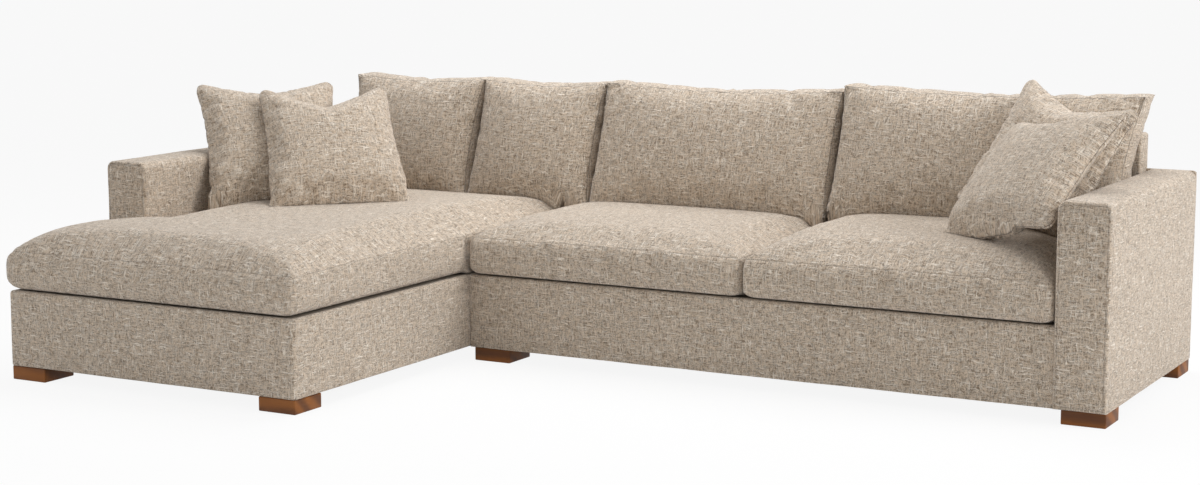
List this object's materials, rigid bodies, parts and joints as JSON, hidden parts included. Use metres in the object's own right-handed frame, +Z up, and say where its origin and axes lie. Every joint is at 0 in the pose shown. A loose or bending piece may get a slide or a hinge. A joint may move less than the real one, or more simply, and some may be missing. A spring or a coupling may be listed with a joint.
{
  "type": "sectional sofa",
  "caption": "Upholstered sectional sofa with a long chaise on one side, loose seat and back cushions, throw pillows and low square wooden feet.",
  "frame": {"origin": "on the floor under the middle of the overall width and depth", "axes": "+Z up, +X to the right seen from the front, +Y towards the back"},
  "size_m": [3.165, 1.88, 0.9179],
  "materials": {
    "woven_fabric": "chunky beige woven tweed, matt",
    "deck_cloth": "plain decking cloth over padding",
    "dust_cloth": "black bonded dust cloth",
    "frame_timber": "sawn softwood and board",
    "foot_walnut": "walnut brown stain, satin",
    "spring_steel": "bare spring steel"
  },
  "bodies": {
    "sofa_module": {"right_arm_board": "frame_timber", "right_arm_cover": "woven_fabric", "right_arm_front_panel": "woven_fabric", "right_arm_top_rail": "frame_timber", "sofa_back_board": "frame_timber", "sofa_back_rail": "frame_timber", "sofa_back_top_rail": "frame_timber", "sofa_centre_rail": "frame_timber", "sofa_deck": "deck_cloth", "sofa_dust_cover": "dust_cloth", "sofa_foot_front_left": "foot_walnut", "sofa_foot_front_right": "foot_walnut", "sofa_foot_rear_left": "foot_walnut", "sofa_foot_rear_right": "foot_walnut", "sofa_front_border_left": "woven_fabric", "sofa_front_border_right": "woven_fabric", "sofa_front_rail": "frame_timber", "sofa_inside_back": "woven_fabric", "sofa_joining_hook": "spring_steel", "sofa_left_rail": "frame_timber", "sofa_left_side_panel": "woven_fabric", "sofa_outside_back": "woven_fabric", "sofa_right_rail": "frame_timber", "sofa_springs_left": "spring_steel", "sofa_springs_right": "spring_steel"},
    "chaise_module": {"chaise_back_board": "frame_timber", "chaise_back_rail": "frame_timber", "chaise_back_top_rail": "frame_timber", "chaise_cross_rail": "frame_timber", "chaise_deck": "deck_cloth", "chaise_dust_cover": "dust_cloth", "chaise_foot_front_left": "foot_walnut", "chaise_foot_front_right": "foot_walnut", "chaise_foot_rear_left": "foot_walnut", "chaise_foot_rear_right": "foot_walnut", "chaise_front_border": "woven_fabric", "chaise_front_rail": "frame_timber", "chaise_inside_back": "woven_fabric", "chaise_joining_hook": "spring_steel", "chaise_left_border": "woven_fabric", "chaise_left_rail": "frame_timber", "chaise_outside_back": "woven_fabric", "chaise_right_border": "woven_fabric", "chaise_right_rail": "frame_timber", "chaise_springs": "spring_steel", "left_arm_board": "frame_timber", "left_arm_cover": "woven_fabric", "left_arm_front_panel": "woven_fabric", "left_arm_top_rail": "frame_timber"},
    "chaise_inner_back": {"back_cushion_chaise_inner": "woven_fabric"},
    "chaise_outer_back": {"back_cushion_chaise_outer": "woven_fabric"},
    "left_seat_back": {"back_cushion_left_seat": "woven_fabric"},
    "right_seat_back": {"back_cushion_right_seat": "woven_fabric"},
    "chaise_seat": {"chaise_seat_cushion": "woven_fabric"},
    "left_front_pillow": {"pillow_left_front": "woven_fabric"},
    "left_rear_pillow": {"pillow_left_rear": "woven_fabric"},
    "right_front_pillow": {"pillow_right_front": "woven_fabric"},
    "right_rear_pillow": {"pillow_right_rear": "woven_fabric"},
    "left_seat": {"seat_cushion_left": "woven_fabric"},
    "right_seat": {"seat_cushion_right": "woven_fabric"}
  },
  "joints": [
    {"name": "chaise_unhook", "type": "slide", "parent": "sofa_module", "child": "chaise_module", "axis": [0, 0, 1], "range_m": [0, 0.06]},
    {"name": "chaise_seat_lift", "type": "slide", "parent": "chaise_module", "child": "chaise_seat", "axis": [0, 0, 1], "range_m": [0, 0.45]},
    {"name": "left_seat_pull", "type": "slide", "parent": "sofa_module", "child": "left_seat", "axis": [0, -1, 0], "range_m": [0, 0.9]},
    {"name": "right_seat_pull", "type": "slide", "parent": "sofa_module", "child": "right_seat", "axis": [0, -1, 0], "range_m": [0, 0.9]},
    {"name": "chaise_outer_back_lift", "type": "slide", "parent": "chaise_seat", "child": "chaise_outer_back", "axis": [0, 0, 1], "range_m": [0, 0.45]},
    {"name": "chaise_inner_back_lift", "type": "slide", "parent": "chaise_seat", "child": "chaise_inner_back", "axis": [0, 0, 1], "range_m": [0, 0.45]},
    {"name": "left_seat_back_lift", "type": "slide", "parent": "left_seat", "child": "left_seat_back", "axis": [0, 0, 1], "range_m": [0, 0.45]},
    {"name": "right_seat_back_lift", "type": "slide", "parent": "right_seat", "child": "right_seat_back", "axis": [0, 0, 1], "range_m": [0, 0.45]},
    {"name": "left_rear_pillow_lift", "type": "slide", "parent": "chaise_seat", "child": "left_rear_pillow", "axis": [0, 0, 1], "range_m": [0, 0.5]},
    {"name": "left_front_pillow_lift", "type": "slide", "parent": "left_rear_pillow", "child": "left_front_pillow", "axis": [0, 0, 1], "range_m": [0, 0.5]},
    {"name": "right_rear_pillow_lift", "type": "slide", "parent": "right_seat_back", "child": "right_rear_pillow", "axis": [0, 0, 1], "range_m": [0, 0.5]},
    {"name": "right_front_pillow_lift", "type": "slide", "parent": "right_rear_pillow", "child": "right_front_pillow", "axis": [0, 0, 1], "range_m": [0, 0.5]}
  ]
}
